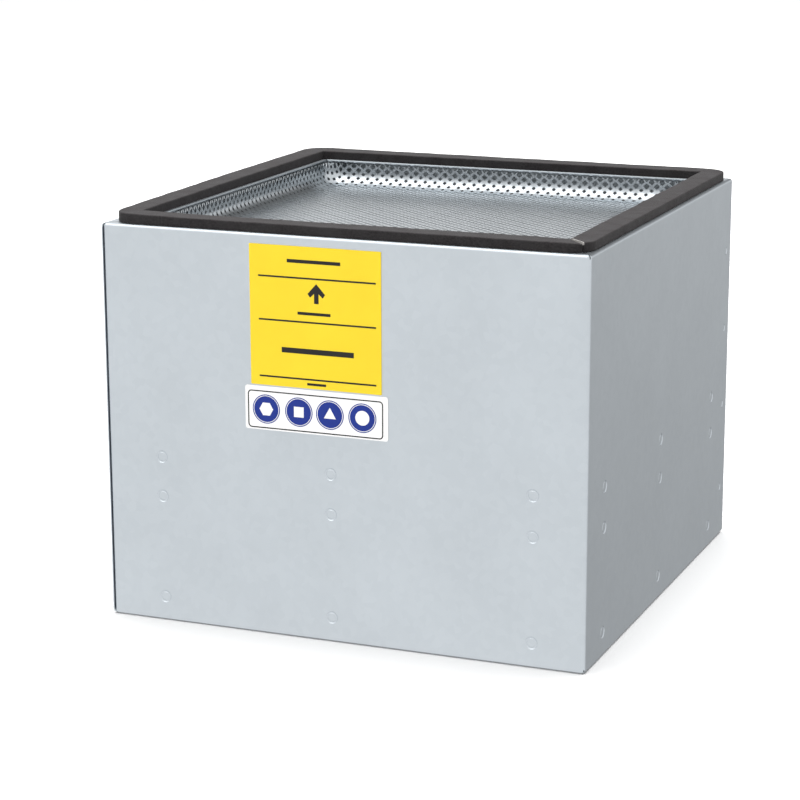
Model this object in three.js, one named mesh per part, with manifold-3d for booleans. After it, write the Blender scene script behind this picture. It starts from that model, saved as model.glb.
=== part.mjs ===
// Gas filter cartridge for a solder fume extractor: a galvanised sheet-steel box with a foam
// gasket round its top rim, a dished outlet mesh, and the filter layers that it holds.
// Millimetres. +X is to the right, +Y to the back, +Z up, and the cartridge stands on z = 0.

import * as THREE from "three";
import { mergeVertices } from "three/addons/utils/BufferGeometryUtils.js";
import Module from "manifold-3d";

const wasm = await Module();
wasm.setup();

// ---------------------------------------------------------------- driving sizes

const casingWidth = 380;
const casingDepth = 383;
const casingHeight = 303.5;

const sheet = 0.8;
const bendRadius = 2.5;
const uprightBendExtra = 0.5;
const flangeWidth = 26;
const hemWidth = 3.7;
const seamTab = 28;
const mitreGap = 0.8;
const clearance = 0.3;

const gasketHeight = 7;
const gasketWidth = 19;
const gasketInset = 3;
const gasketCornerRadius = 18;
const gasketSlit = 0.8;

const clinchRadius = 4.7;
const clinchDepth = 0.45;
const clinchSides = 16;
const frontClinchColumns = [-144.5, -6.5, 149.5];
const sideClinchColumns = [-150, -6, 142.5];
const clinchRows = [18.6, 98, 128.5];
const seamClinchRadius = 3.2;
const seamClinchFromEdge = 14;
const seamClinchRows = [43, 115, 180, 245];

const trayWall = 0.8;
const trayDepth = 19;
const trayBend = 11;
const trayRim = 12;

const labelThickness = 0.2;
const labelGap = 0.2;
const ratingLabelPlace = { left: -69, right: 34.5, bottom: 191.5, top: 296 };
const handlingLabelPlace = { left: -74, right: 39.5, bottom: 157.5, top: 190.5 };

const railSheet = 1;
const railLeg = 16;
const railLength = 320;
const middleRailHeight = 50;

const guardFrameWall = 12;
const guardFrameRadius = 3;
const guardGasketHeight = 3;
const guardPlay = 1;
const feltThickness = 6;
const layerCornerRadius = 4;
const insideCornerRadius = 1;

// Every corner of a rounded outline is drawn with this many straight steps, and every quarter
// turn of a bend with this many.
const cornerSteps = 4;
const bendSteps = 3;

// How far a cutting shape runs on past what it cuts.
const overrun = 1;

// ---------------------------------------------------------------- worked-out places

const halfWidth = casingWidth / 2;
const halfDepth = casingDepth / 2;
const openingHalfX = halfWidth - flangeWidth;
const openingHalfY = halfDepth - flangeWidth;

// Clear space inside the walls and the seam tabs.
const innerHalfX = halfWidth - 2 * sheet - 2 * clearance;
const innerHalfY = halfDepth - sheet - clearance;

const inletBottom = sheet + clearance;
const inletTop = inletBottom + railSheet;
const bottomRailBottom = inletTop + clearance;
const bottomRailTop = 2 * clinchRows[0] - bottomRailBottom;

const middleRailCentre = (clinchRows[1] + clinchRows[2]) / 2;
const middleRailBottom = middleRailCentre - middleRailHeight / 2;
const middleRailTop = middleRailCentre + middleRailHeight / 2;

const guardBottom = bottomRailTop + clearance;
const guardGasketTop = middleRailBottom - clearance;
const guardTop = guardGasketTop - guardGasketHeight - clearance;

const trayRimTop = casingHeight - sheet - clearance;
const trayFloorTop = casingHeight - trayDepth;
const trayFloorBottom = trayFloorTop - trayWall;

const supportGridBottom = middleRailTop + clearance;
const supportGridTop = supportGridBottom + railSheet;
const lowerFeltBottom = supportGridTop + clearance;
const lowerFeltTop = lowerFeltBottom + feltThickness;
const upperFeltTop = trayFloorBottom - clearance;
const upperFeltBottom = upperFeltTop - feltThickness;

// ---------------------------------------------------------------- materials

function metal(color, roughness) {
  return new THREE.MeshStandardMaterial({ color, roughness, metalness: 0.9 });
}

function dull(color, roughness) {
  return new THREE.MeshStandardMaterial({ color, roughness, metalness: 0 });
}

const galvanised = metal(0xc9d0d5, 0.42);
const expandedSteel = metal(0xb9c0c4, 0.38);
const railSteel = metal(0xaab1b6, 0.45);
const foam = dull(0x26262a, 0.95);
const yellowVinyl = dull(0xf3cf1d, 0.45);
const whiteVinyl = dull(0xf2f2f0, 0.4);
const felt = dull(0x35363a, 0.98);
const carbon = dull(0x1c1c1e, 0.9);
const frameBoard = metal(0xb4babd, 0.5);
const pleatPaper = dull(0xe6e3d8, 0.95);

// ---------------------------------------------------------------- solids

// A ring of points round the rounded rectangle (x0..x1, y0..y1) at height z, counter-clockwise
// seen from above.
function outlineRing({ x0, x1, y0, y1, radius, z }) {
  const corners = [
    { x: x1 - radius, y: y1 - radius, start: 0 },
    { x: x0 + radius, y: y1 - radius, start: 90 },
    { x: x0 + radius, y: y0 + radius, start: 180 },
    { x: x1 - radius, y: y0 + radius, start: 270 },
  ];
  const ring = [];
  for (const corner of corners) {
    for (let step = 0; step <= cornerSteps; step += 1) {
      const angle = THREE.MathUtils.degToRad(corner.start + (90 * step) / cornerSteps);
      ring.push([corner.x + radius * Math.cos(angle), corner.y + radius * Math.sin(angle), z]);
    }
  }
  return ring;
}

// The outline of a rectangle centred on the origin.
function centredOutline(halfX, halfY, radius, z) {
  return { x0: -halfX, x1: halfX, y0: -halfY, y1: halfY, radius, z };
}

// A closed skin through a list of outlines: from the first to the last going up the outside and
// down the inside. A loop joins the last outline to the first; otherwise both are capped flat.
function loft(outlines, loop = false) {
  const rings = outlines.map(outlineRing);
  const count = rings[0].length;
  const index = [];
  const last = loop ? rings.length : rings.length - 1;
  for (let level = 0; level < last; level += 1) {
    const low = level * count;
    const high = ((level + 1) % rings.length) * count;
    for (let i = 0; i < count; i += 1) {
      const next = (i + 1) % count;
      index.push(low + i, low + next, high + next);
      index.push(low + i, high + next, high + i);
    }
  }
  if (!loop) {
    const top = (rings.length - 1) * count;
    for (let i = 1; i < count - 1; i += 1) {
      index.push(0, i + 1, i);
      index.push(top, top + i, top + i + 1);
    }
  }
  const geometry = new THREE.BufferGeometry();
  geometry.setAttribute("position", new THREE.Float32BufferAttribute(rings.flat(2), 3));
  geometry.setIndex(index);
  return geometry;
}

// A plain block between two opposite corners.
function block(x0, x1, y0, y1, z0, z1) {
  const geometry = new THREE.BoxGeometry(x1 - x0, y1 - y0, z1 - z0);
  return geometry.translate((x0 + x1) / 2, (y0 + y1) / 2, (z0 + z1) / 2);
}

// The angles of a bend's quarter turn, from 0 to 90 degrees.
function quarterTurn() {
  return Array.from({ length: bendSteps + 1 }, (unused, step) => (Math.PI / 2 / bendSteps) * step);
}

function toSolid(geometry) {
  const bare = geometry.clone();
  bare.deleteAttribute("normal");
  bare.deleteAttribute("uv");
  const merged = mergeVertices(bare, 1e-5);
  return new wasm.Manifold(new wasm.Mesh({
    numProp: 3,
    vertProperties: new Float32Array(merged.attributes.position.array),
    triVerts: new Uint32Array(merged.index.array),
  }));
}

function toGeometry(solid) {
  const result = solid.getMesh();
  const geometry = new THREE.BufferGeometry();
  geometry.setAttribute("position", new THREE.BufferAttribute(result.vertProperties, 3));
  geometry.setIndex(new THREE.BufferAttribute(result.triVerts, 1));
  return geometry;
}

function cut(solid, tools) {
  return tools.reduce((rest, tool) => rest.subtract(toSolid(tool)), solid);
}

function piece(name, geometry, material) {
  geometry.computeVertexNormals();
  const mesh = new THREE.Mesh(geometry, material);
  mesh.name = name;
  return mesh;
}

// ---------------------------------------------------------------- casing panels

// A block from z = 0 to the casing's height, shrunk by inset on every side, with all its edges
// rounded to the bend.
function bentBlock(x0, x1, y0, y1, inset) {
  const edge = bendRadius - inset;
  const planRadius = edge + uprightBendExtra;
  const outlines = [];
  const level = (shrink, z) => {
    const offset = inset + shrink;
    outlines.push({
      x0: x0 + offset,
      x1: x1 - offset,
      y0: y0 + offset,
      y1: y1 - offset,
      radius: planRadius - shrink,
      z,
    });
  };
  const turns = quarterTurn();
  for (const turn of turns) {
    level(edge * (1 - Math.sin(turn)), inset + edge * (1 - Math.cos(turn)));
  }
  for (const turn of turns.toReversed()) {
    level(edge * (1 - Math.sin(turn)), casingHeight - inset - edge * (1 - Math.cos(turn)));
  }
  return loft(outlines);
}

// The part of the plan that one panel covers at its flanges: the front and right sides, mitred at
// both ends, reaching past the flanges' inner edges.
function panelPlan() {
  const reach = flangeWidth + 10 * overrun;
  const beyond = 5 * overrun;
  const gap = mitreGap / Math.SQRT2;
  const outline = new THREE.Shape();
  outline.moveTo(-halfWidth - beyond + gap, -halfDepth - beyond);
  outline.lineTo(halfWidth + beyond, -halfDepth - beyond);
  outline.lineTo(halfWidth + beyond, halfDepth + beyond - gap);
  outline.lineTo(halfWidth - reach, halfDepth - reach - gap);
  outline.lineTo(halfWidth - reach, -halfDepth + reach);
  outline.lineTo(-halfWidth + reach + gap, -halfDepth + reach);
  outline.closePath();
  const depth = casingHeight + 2 * overrun;
  const geometry = new THREE.ExtrudeGeometry(outline, { depth, bevelEnabled: false });
  return geometry.translate(0, 0, -overrun);
}

// The slot that frees the top and bottom flanges of one panel at its own vertical bend.
function cornerNotches() {
  const reach = flangeWidth * Math.SQRT2 + 10 * overrun;
  const depth = bendRadius + 0.4;
  const ranges = [
    [-overrun, depth],
    [casingHeight - depth, casingHeight + overrun],
  ];
  return ranges.map(([low, high]) => {
    const notch = block(-reach, 10 * overrun, -mitreGap / 2, mitreGap / 2, low, high);
    return notch.rotateZ(-Math.PI / 4).translate(halfWidth, -halfDepth, 0);
  });
}

// The opening's edge, folded back over the top flanges.
function hem() {
  const reachX = openingHalfX + hemWidth;
  const reachY = openingHalfY + hemWidth;
  return block(-reachX, reachX, -reachY, reachY, casingHeight - sheet / 2, casingHeight + sheet);
}

// Round marks pressed into the front wall and the right wall.
function clinchMarks() {
  const marks = [];
  const press = (radius, onFront, along, z) => {
    const tool = new THREE.CylinderGeometry(radius, radius, 2 * clinchDepth, clinchSides);
    if (onFront) {
      marks.push(tool.translate(along, 0, 0).translate(0, -halfDepth, z));
    } else {
      marks.push(tool.rotateZ(Math.PI / 2).translate(halfWidth, along, z));
    }
  };
  for (const z of clinchRows) {
    for (const x of frontClinchColumns) {
      press(clinchRadius, true, x, z);
    }
    for (const y of sideClinchColumns) {
      press(clinchRadius, false, y, z);
    }
  }
  for (const z of seamClinchRows) {
    press(seamClinchRadius, false, halfDepth - seamClinchFromEdge, z);
  }
  return marks;
}

// One pressed panel: front wall, right wall, the flanges of both, and the tab that goes back from
// the front-left corner inside the other panel.
function pressedPanel() {
  const left = -halfWidth + sheet + clearance;
  const far = halfDepth + 20 * overrun;
  const skin = toSolid(bentBlock(left, halfWidth, -halfDepth, far, 0))
    .subtract(toSolid(bentBlock(left, halfWidth, -halfDepth, far, sheet)));

  const wallLow = bendRadius + 0.7;
  const wallHigh = casingHeight - wallLow;
  const tab = block(
    left - overrun, left + 2 * bendRadius, -halfDepth - overrun, -halfDepth + seamTab, wallLow, wallHigh);
  const freeEdge = halfDepth - clearance;
  const wallEnd = block(
    halfWidth - 2 * sheet, halfWidth + overrun, 0, freeEdge, wallLow, wallHigh);
  const keep = toSolid(panelPlan()).add(toSolid(tab)).add(toSolid(wallEnd));

  const opening = block(
    -openingHalfX, openingHalfX, -openingHalfY, openingHalfY, -overrun, casingHeight + overrun);
  const pressing = skin.add(toSolid(hem())).intersect(keep);
  return toGeometry(cut(pressing, [opening, ...cornerNotches(), ...clinchMarks()]));
}

function casing() {
  const group = new THREE.Group();
  const pressing = pressedPanel();
  const frontRight = piece("casing_front_right_panel", pressing, galvanised);
  const backLeft = piece("casing_back_left_panel", pressing.clone(), galvanised);
  backLeft.rotation.z = Math.PI;
  group.add(frontRight, backLeft);
  return group;
}

// ---------------------------------------------------------------- grids and tray

// The dished outlet mesh: rim under the top flanges, upright wall, rounded foot and flat floor.
function outletTray() {
  const wallX = openingHalfX - clearance - trayWall;
  const wallY = openingHalfY - clearance - trayWall;
  const outlines = [];
  const level = (grow, z) => {
    const radius = Math.max(trayBend + grow, insideCornerRadius);
    outlines.push(centredOutline(wallX + grow, wallY + grow, radius, z));
  };
  const turns = quarterTurn();
  const outerBend = trayBend + trayWall;
  for (const turn of turns) {
    const grow = trayWall - outerBend * (1 - Math.sin(turn));
    level(grow, trayFloorTop + trayBend - outerBend * Math.cos(turn));
  }
  level(trayWall, trayRimTop - trayWall);
  level(trayWall + trayRim, trayRimTop - trayWall);
  level(trayWall + trayRim, trayRimTop);
  level(0, trayRimTop);
  for (const turn of turns.toReversed()) {
    level(-trayBend * (1 - Math.sin(turn)), trayFloorTop + trayBend * (1 - Math.cos(turn)));
  }
  return piece("outlet_mesh_tray", loft(outlines), expandedSteel);
}

function flatLayer(name, bottom, top, halfX, halfY, radius, material) {
  const outlines = [
    centredOutline(halfX, halfY, radius, bottom),
    centredOutline(halfX, halfY, radius, top),
  ];
  return piece(name, loft(outlines), material);
}

// It lies on the bottom flanges, clear of the bends that they start from.
function inletGrid() {
  const halfX = innerHalfX - bendRadius;
  const halfY = innerHalfY - bendRadius;
  return flatLayer("inlet_grid", inletBottom, inletTop, halfX, halfY, layerCornerRadius, expandedSteel);
}

// ---------------------------------------------------------------- rails

// A channel rail with its back against a wall and both legs turned inwards, drawn for the front.
function channelRail(low, high) {
  const section = new THREE.Shape();
  section.moveTo(0, low);
  section.lineTo(railLeg, low);
  section.lineTo(railLeg, low + railSheet);
  section.lineTo(railSheet, low + railSheet);
  section.lineTo(railSheet, high - railSheet);
  section.lineTo(railLeg, high - railSheet);
  section.lineTo(railLeg, high);
  section.lineTo(0, high);
  section.closePath();
  const geometry = new THREE.ExtrudeGeometry(section, { depth: railLength, bevelEnabled: false });
  // The section's first axis goes inwards from the wall, and its second one up.
  return geometry.translate(0, 0, -railLength / 2).rotateX(Math.PI / 2).rotateZ(Math.PI / 2);
}

function railSet(label, low, high) {
  const group = new THREE.Group();
  const inwardX = halfWidth - sheet - clearance;
  const inwardY = halfDepth - sheet - clearance;
  const places = [
    { side: "front", turn: 0, x: 0, y: -inwardY },
    { side: "right", turn: Math.PI / 2, x: inwardX, y: 0 },
    { side: "back", turn: Math.PI, x: 0, y: inwardY },
    { side: "left", turn: -Math.PI / 2, x: -inwardX, y: 0 },
  ];
  for (const { side, turn, x, y } of places) {
    const rail = piece(`${label}_rail_${side}`, channelRail(low, high), railSteel);
    rail.rotation.z = turn;
    rail.position.set(x, y, 0);
    group.add(rail);
  }
  return group;
}

// ---------------------------------------------------------------- guard filter

// An upright ring, as wide as the guard filter's frame.
function guardRing(name, outerX, outerY, bottom, top, material) {
  const outlines = [
    centredOutline(outerX, outerY, guardFrameRadius, bottom),
    centredOutline(outerX, outerY, guardFrameRadius, top),
    centredOutline(outerX - guardFrameWall, outerY - guardFrameWall, insideCornerRadius, top),
    centredOutline(outerX - guardFrameWall, outerY - guardFrameWall, insideCornerRadius, bottom),
  ];
  return piece(name, loft(outlines, true), material);
}

function guardFilter() {
  const group = new THREE.Group();
  const frameX = innerHalfX - guardPlay;
  const frameY = innerHalfY - guardPlay;
  const mediaX = frameX - guardFrameWall - clearance;
  const mediaY = frameY - guardFrameWall - clearance;
  const mediaBottom = guardBottom + guardPlay;
  const mediaTop = guardTop - guardPlay;
  group.add(
    guardRing("guard_filter_frame", frameX, frameY, guardBottom, guardTop, frameBoard),
    guardRing("guard_filter_gasket", frameX, frameY, guardTop + clearance, guardGasketTop, foam),
    flatLayer("pleated_guard_media", mediaBottom, mediaTop, mediaX, mediaY, insideCornerRadius, pleatPaper),
  );
  return group;
}

// ---------------------------------------------------------------- carbon bed

function carbonBed() {
  const group = new THREE.Group();
  const carbonBottom = lowerFeltTop + clearance;
  const carbonTop = upperFeltBottom - clearance;
  const addLayer = (name, from, to, material) => {
    group.add(flatLayer(name, from, to, innerHalfX, innerHalfY, layerCornerRadius, material));
  };
  addLayer("bed_support_grid", supportGridBottom, supportGridTop, expandedSteel);
  addLayer("lower_felt_pad", lowerFeltBottom, lowerFeltTop, felt);
  addLayer("carbon_bed", carbonBottom, carbonTop, carbon);
  addLayer("upper_felt_pad", upperFeltBottom, upperFeltTop, felt);
  return group;
}

// ---------------------------------------------------------------- gasket and labels

// One foam strip laid round the rim, its two ends butted at the front-right corner.
function foamGasket() {
  const outerX = halfWidth - gasketInset;
  const outerY = halfDepth - gasketInset;
  const bottom = casingHeight + clearance / 2;
  const top = casingHeight + gasketHeight;
  const outlines = [
    centredOutline(outerX, outerY, gasketCornerRadius, bottom),
    centredOutline(outerX, outerY, gasketCornerRadius, top),
    centredOutline(outerX - gasketWidth, outerY - gasketWidth, insideCornerRadius, top),
    centredOutline(outerX - gasketWidth, outerY - gasketWidth, insideCornerRadius, bottom),
  ];
  const reach = 2 * gasketWidth;
  const slit = block(-reach, reach, -gasketSlit / 2, gasketSlit / 2, bottom - overrun, top + overrun);
  slit.rotateZ(-Math.PI / 4).translate(outerX, -outerY, 0);
  return piece("foam_gasket", toGeometry(cut(toSolid(loft(outlines, true)), [slit])), foam);
}

function frontLabel(name, { left, right, bottom, top }, material) {
  const back = -halfDepth - labelGap;
  return piece(name, block(left, right, back - labelThickness, back, bottom, top), material);
}

function labels() {
  const group = new THREE.Group();
  group.add(frontLabel("rating_label", ratingLabelPlace, yellowVinyl));
  group.add(frontLabel("handling_label", handlingLabelPlace, whiteVinyl));
  return group;
}

// ---------------------------------------------------------------- the cartridge

const cartridge = new THREE.Group();
cartridge.add(
  casing(),
  inletGrid(),
  railSet("bottom", bottomRailBottom, bottomRailTop),
  railSet("middle", middleRailBottom, middleRailTop),
  guardFilter(),
  carbonBed(),
  outletTray(),
  foamGasket(),
  labels(),
);
// The labels stand proud of the front, so the whole is moved back by half of that to stay centred.
cartridge.position.y = (labelGap + labelThickness) / 2;

export default cartridge;
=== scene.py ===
# Visual model of a gas filter cartridge for a solder fume extractor, built round its CAD frame.
# Metres. The front faces -Y, +X is to the right, +Z is up, and the base stands on z = 0.

import math

import bmesh
import bpy
import numpy as np
from mathutils import Matrix, Vector, noise


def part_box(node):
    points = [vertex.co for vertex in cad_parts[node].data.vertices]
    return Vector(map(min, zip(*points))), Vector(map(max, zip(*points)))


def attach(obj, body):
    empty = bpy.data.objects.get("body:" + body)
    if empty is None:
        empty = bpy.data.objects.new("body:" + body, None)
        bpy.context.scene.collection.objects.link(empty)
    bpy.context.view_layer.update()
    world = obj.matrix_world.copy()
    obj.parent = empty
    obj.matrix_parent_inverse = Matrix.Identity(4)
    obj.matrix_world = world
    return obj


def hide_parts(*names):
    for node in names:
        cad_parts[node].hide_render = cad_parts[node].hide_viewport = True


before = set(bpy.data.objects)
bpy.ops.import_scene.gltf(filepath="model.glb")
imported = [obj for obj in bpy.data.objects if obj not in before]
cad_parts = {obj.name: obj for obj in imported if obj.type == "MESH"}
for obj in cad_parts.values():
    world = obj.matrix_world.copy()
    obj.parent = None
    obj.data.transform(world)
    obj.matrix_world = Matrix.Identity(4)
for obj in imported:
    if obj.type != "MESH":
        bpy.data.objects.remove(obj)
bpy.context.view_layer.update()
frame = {"nodes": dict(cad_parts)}

MM = 0.001
TAU = 2 * math.pi
scene = bpy.context.scene
noise.seed_set(7)        # noise_vector is different in each run without it

# ------------------------------------------------------------------ driving sizes

SHEET = 0.8 * MM            # casing sheet
BEND = 2.5 * MM             # outer radius of the casing's bends
SEAM_GAP = 0.3 * MM         # between a wall and the tab inside it
SEAM_TAB = 28 * MM
FLANGE = 26 * MM
HEM = 3.7 * MM              # the width of the opening's folded edge, on top of the flanges
MITRE_GAP = 0.8 * MM

FRONT_CLINCH_COLUMNS = [-144.5 * MM, -6.5 * MM, 149.5 * MM]
SIDE_CLINCH_COLUMNS = [-150 * MM, -6 * MM, 142.5 * MM]
CLINCH_ROWS = [18.6 * MM, 98 * MM, 128.5 * MM]
SEAM_CLINCH_ROWS = [43 * MM, 115 * MM, 180 * MM, 245 * MM]
SEAM_CLINCH_FROM_EDGE = 14 * MM

MESH_LONG = 8.9 * MM        # expanded-metal diamond along X
MESH_SHORT = 7.2 * MM       # and along Y
MESH_THICKNESS = 0.4 * MM
MESH_HOLE = 0.68            # a hole's share of its diamond, corner to corner
MESH_PRESSED_HOLE = 0.48    # the same where the sheet is pressed round the tray's foot
MESH_LIFT = 0.1 * MM        # how far a hole's front lip stands up; its back one hangs down as far

GASKET_WIDTH = 19 * MM
GASKET_CORNER = 18 * MM     # outer radius of its bends
GASKET_SLIT = 0.8 * MM      # between its two ends
GASKET_DRIFT = 6 * MM       # how far the hand-laid left strip wanders on its way to the front
GASKET_OUTWARDS = 2.5 * MM  # how far the left and back strips were laid outside their line
GASKET_RISE = 0.8 * MM      # how much higher the left one and the back one's left end stand

PLEAT_PITCH = 6.2 * MM

FILM = 0.12 * MM            # thickness of a label's film
INK = 0.03 * MM             # and of what is printed on it
LABEL_CLEARANCE = 0.01 * MM # between a layer of ink and what it is printed on

# ------------------------------------------------------------------ places from the frame

panel_low, panel_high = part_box("casing_front_right_panel")
other_low, other_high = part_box("casing_back_left_panel")
CASING_LEFT, CASING_RIGHT = other_low.x, panel_high.x
CASING_FRONT, CASING_BACK = panel_low.y, other_high.y
CASING_TOP = panel_high.z - SHEET       # the flanges' top; the folded edge is one sheet higher
MID_Y = (CASING_FRONT + CASING_BACK) / 2
HALF_X = (CASING_RIGHT - CASING_LEFT) / 2
HALF_Y = (CASING_BACK - CASING_FRONT) / 2


# ------------------------------------------------------------------ mesh helpers

def add_object(name, verts, faces, smooth=False):
    mesh = bpy.data.meshes.new(name)
    mesh.from_pydata([tuple(v) for v in verts], [], [tuple(int(i) for i in f) for f in faces])
    mesh.validate()
    mesh.update()
    if smooth:
        mesh.shade_smooth()
    piece = bpy.data.objects.new(name, mesh)
    scene.collection.objects.link(piece)
    return piece


def finish_piece(piece, material, slot, *nodes):
    """Gives a piece its material and its body, and hides the CAD nodes it stands for. Its slot is
    not used.
    """
    piece.data.materials.clear()
    piece.data.materials.append(material)
    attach(piece, "root")
    if nodes:
        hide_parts(*nodes)
    return piece


def soften(piece, angle=32):
    """Smooth shading, kept sharp where faces meet at more than the angle, with flat faces flat."""
    piece.data.shade_smooth()
    piece.data.set_sharp_from_angle(angle=math.radians(angle))
    weight = piece.modifiers.new("flat_faces_stay_flat", "WEIGHTED_NORMAL")
    weight.keep_sharp = True
    return piece


def outline_ring(x0, x1, y0, y1, radius, z, steps):
    """Points round a rounded rectangle, counter-clockwise from above."""
    corners = [
        (x1 - radius, y1 - radius, 0.0),
        (x0 + radius, y1 - radius, 0.25),
        (x0 + radius, y0 + radius, 0.5),
        (x1 - radius, y0 + radius, 0.75),
    ]
    ring = []
    for x, y, start in corners:
        for step in range(steps + 1):
            angle = TAU * (start + 0.25 * step / steps)
            ring.append((x + radius * math.cos(angle), y + radius * math.sin(angle), z))
    return ring


def loft(name, rings, loop=False):
    """A closed skin through rings of equally many points."""
    count = len(rings[0])
    verts = [point for ring in rings for point in ring]
    faces = []
    for level in range(len(rings) if loop else len(rings) - 1):
        low, high = level * count, (level + 1) % len(rings) * count
        for i in range(count):
            j = (i + 1) % count
            faces.append((low + i, low + j, high + j, high + i))
    if not loop:
        faces.append(tuple(reversed(range(count))))
        faces.append(tuple(range((len(rings) - 1) * count, len(rings) * count)))
    return add_object(name, verts, faces)


def prism(name, outline, z0, z1):
    """An upright prism over an outline of (x, y) points, counter-clockwise from above."""
    return loft(name, [[(x, y, z0) for x, y in outline], [(x, y, z1) for x, y in outline]])


def block(name, x0, x1, y0, y1, z0, z1):
    return prism(name, [(x0, y0), (x1, y0), (x1, y1), (x0, y1)], z0, z1)


def combine(piece, tool, how):
    """A boolean of two closed meshes, applied at once. The tool is used up."""
    step = piece.modifiers.new(how, "BOOLEAN")
    step.operation = how
    step.solver = "MANIFOLD"
    step.object = tool
    bpy.context.view_layer.update()
    graph = bpy.context.evaluated_depsgraph_get()
    result = bpy.data.meshes.new_from_object(piece.evaluated_get(graph))
    piece.modifiers.remove(step)
    piece.data = result
    bpy.data.objects.remove(tool)
    return piece


def join_meshes(name, parts):
    """One object from several closed meshes that don't touch."""
    shape = bmesh.new()
    for part in parts:
        part.data.transform(part.matrix_world)
        shape.from_mesh(part.data)
        bpy.data.objects.remove(part)
    mesh = bpy.data.meshes.new(name)
    shape.to_mesh(mesh)
    shape.free()
    piece = bpy.data.objects.new(name, mesh)
    scene.collection.objects.link(piece)
    return piece


# ------------------------------------------------------------------ node helpers

def new_material(name):
    material = bpy.data.materials.new(name)
    material.use_nodes = True
    tree = material.node_tree
    shader = tree.nodes["Principled BSDF"]
    coords = tree.nodes.new("ShaderNodeTexCoord").outputs["Object"]
    return material, tree, shader, coords


def noise_value(tree, coords, size, detail=3.0, stretch=(1, 1, 1), roughness=0.55):
    """Noise whose lumps are about size across, from 0 to 1."""
    scale = tree.nodes.new("ShaderNodeMapping")
    scale.inputs["Scale"].default_value = [s / size for s in stretch]
    tree.links.new(coords, scale.inputs["Vector"])
    texture = tree.nodes.new("ShaderNodeTexNoise")
    texture.inputs["Scale"].default_value = 1.0
    texture.inputs["Detail"].default_value = detail
    texture.inputs["Roughness"].default_value = roughness
    tree.links.new(scale.outputs["Vector"], texture.inputs["Vector"])
    return texture.outputs["Fac"]


def ramp(tree, value, stops):
    """A colour or grey ramp: stops are (position, colour or grey)."""
    node = tree.nodes.new("ShaderNodeValToRGB")
    elements = node.color_ramp.elements
    while len(elements) < len(stops):
        elements.new(0.5)
    for element, (position, colour) in zip(elements, stops):
        element.position = position
        rgb = colour if isinstance(colour, (tuple, list)) else (colour,) * 3
        element.color = (*rgb, 1)
    tree.links.new(value, node.inputs["Fac"])
    return node.outputs["Color"]


def mixed(tree, factor, first, second, blend="MIX"):
    node = tree.nodes.new("ShaderNodeMix")
    node.data_type = "RGBA"
    node.blend_type = blend
    pairs = ((node.inputs[0], factor), (node.inputs[6], first), (node.inputs[7], second))
    for socket, value in pairs:
        if isinstance(value, bpy.types.NodeSocket):
            tree.links.new(value, socket)
        elif isinstance(value, (tuple, list)):
            socket.default_value = (*value, 1)
        else:
            socket.default_value = value
    return node.outputs[2]


def bumped(tree, shader, *layers):
    """Bump layers of (height, distance in metres), one over the other, into the shader."""
    normal = None
    for height, distance in layers:
        node = tree.nodes.new("ShaderNodeBump")
        node.inputs["Strength"].default_value = 1.0
        node.inputs["Distance"].default_value = distance
        tree.links.new(height, node.inputs["Height"])
        if normal is not None:
            tree.links.new(normal, node.inputs["Normal"])
        normal = node.outputs["Normal"]
    tree.links.new(normal, shader.inputs["Normal"])


# ------------------------------------------------------------------ materials

def galvanised_material(name, base, rough_low, rough_high, mottle):
    """Zinc-coated steel: a cool satin grey, faint spangle and rolling marks, soft patches."""
    material, tree, shader, coords = new_material(name)
    shader.inputs["Metallic"].default_value = 1.0
    patches = noise_value(tree, coords, 70 * MM, detail=4)
    spangle = tree.nodes.new("ShaderNodeTexVoronoi")
    spangle.inputs["Scale"].default_value = 1 / (5.5 * MM)
    spangle.inputs["Randomness"].default_value = 1.0
    tree.links.new(coords, spangle.inputs["Vector"])
    grain = tree.nodes.new("ShaderNodeSeparateColor")
    tree.links.new(spangle.outputs["Color"], grain.inputs["Color"])
    dark = tuple(c * (1 - mottle) for c in base)
    colour = ramp(tree, patches, [(0.3, dark), (0.7, base)])
    colour = mixed(tree, 0.05, colour, ramp(tree, grain.outputs[0], [(0.0, 0.55), (1.0, 0.95)]))
    tree.links.new(colour, shader.inputs["Base Color"])
    rolling = noise_value(tree, coords, 2.2 * MM, detail=2, stretch=(1, 1, 0.12))
    rough = mixed(tree, 0.35, ramp(tree, patches, [(0.25, rough_high), (0.75, rough_low)]), rolling)
    limits = tree.nodes.new("ShaderNodeMapRange")
    limits.inputs["To Min"].default_value = rough_low
    limits.inputs["To Max"].default_value = rough_high
    tree.links.new(rough, limits.inputs["Value"])
    tree.links.new(limits.outputs["Result"], shader.inputs["Roughness"])
    waves = noise_value(tree, coords, 110 * MM, detail=1)
    bumped(tree, shader, (waves, 0.5 * MM), (rolling, 0.006 * MM), (grain.outputs[1], 0.004 * MM))
    return material


def mitre_mask(tree, coords, corner):
    """1 in a line 2 mm wide on top of a strip, along the 45 degree mitre at its front-right
    corner, and 0 elsewhere."""
    half_width, depth = 1.0 * MM, 1.6 * MM

    def along(axis):
        node = tree.nodes.new("ShaderNodeVectorMath")
        node.operation = "DOT_PRODUCT"
        node.inputs[1].default_value = axis
        tree.links.new(coords, node.inputs[0])
        return node.outputs["Value"]

    def compared(how, value, *limits):
        node = tree.nodes.new("ShaderNodeMath")
        node.operation = how
        tree.links.new(value, node.inputs[0])
        for socket, limit in zip(node.inputs[1:], limits):
            socket.default_value = limit
        return node.outputs["Value"]

    def both(first, second):
        node = tree.nodes.new("ShaderNodeMath")
        node.operation = "MULTIPLY"
        tree.links.new(first, node.inputs[0])
        tree.links.new(second, node.inputs[1])
        return node.outputs["Value"]

    on_mitre = compared("COMPARE", along((1, 1, 0)), corner.x + corner.y, half_width)
    on_right = compared("GREATER_THAN", along((1, 0, 0)), 0.0)
    on_top = compared("GREATER_THAN", along((0, 0, 1)), corner.z - depth)
    return both(both(on_mitre, on_right), on_top)


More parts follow.
